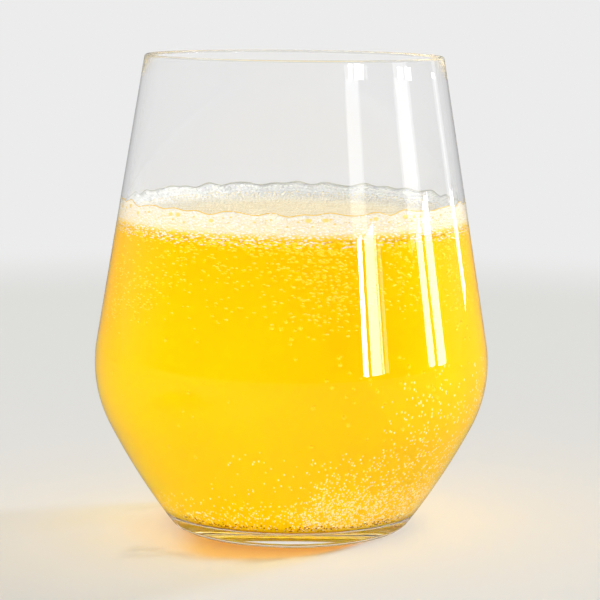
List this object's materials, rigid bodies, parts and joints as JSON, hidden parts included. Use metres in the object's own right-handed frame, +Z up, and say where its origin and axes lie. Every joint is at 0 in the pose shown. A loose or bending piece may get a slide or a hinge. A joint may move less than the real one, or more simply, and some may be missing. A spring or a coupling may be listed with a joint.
{
  "type": "glass of orange soda",
  "caption": "Stemless tumbler with inward-leaning walls, filled two thirds with cloudy orange soda under a foam head.",
  "frame": {"origin": "on the table under the middle of the foot", "axes": "+Z up along the axis of the glass; X and Y are any pair across it"},
  "size_m": [0.0918, 0.0918, 0.11],
  "materials": {
    "clear_glass": "blown clear glass, polished",
    "orange_soda": "cloudy yellow-orange drink, glossy",
    "soda_foam": "cream foam of fine and coarse bubbles"
  },
  "bodies": {
    "root": {"glass": "clear_glass", "soda": "orange_soda", "foam_head": "soda_foam"}
  },
  "joints": []
}
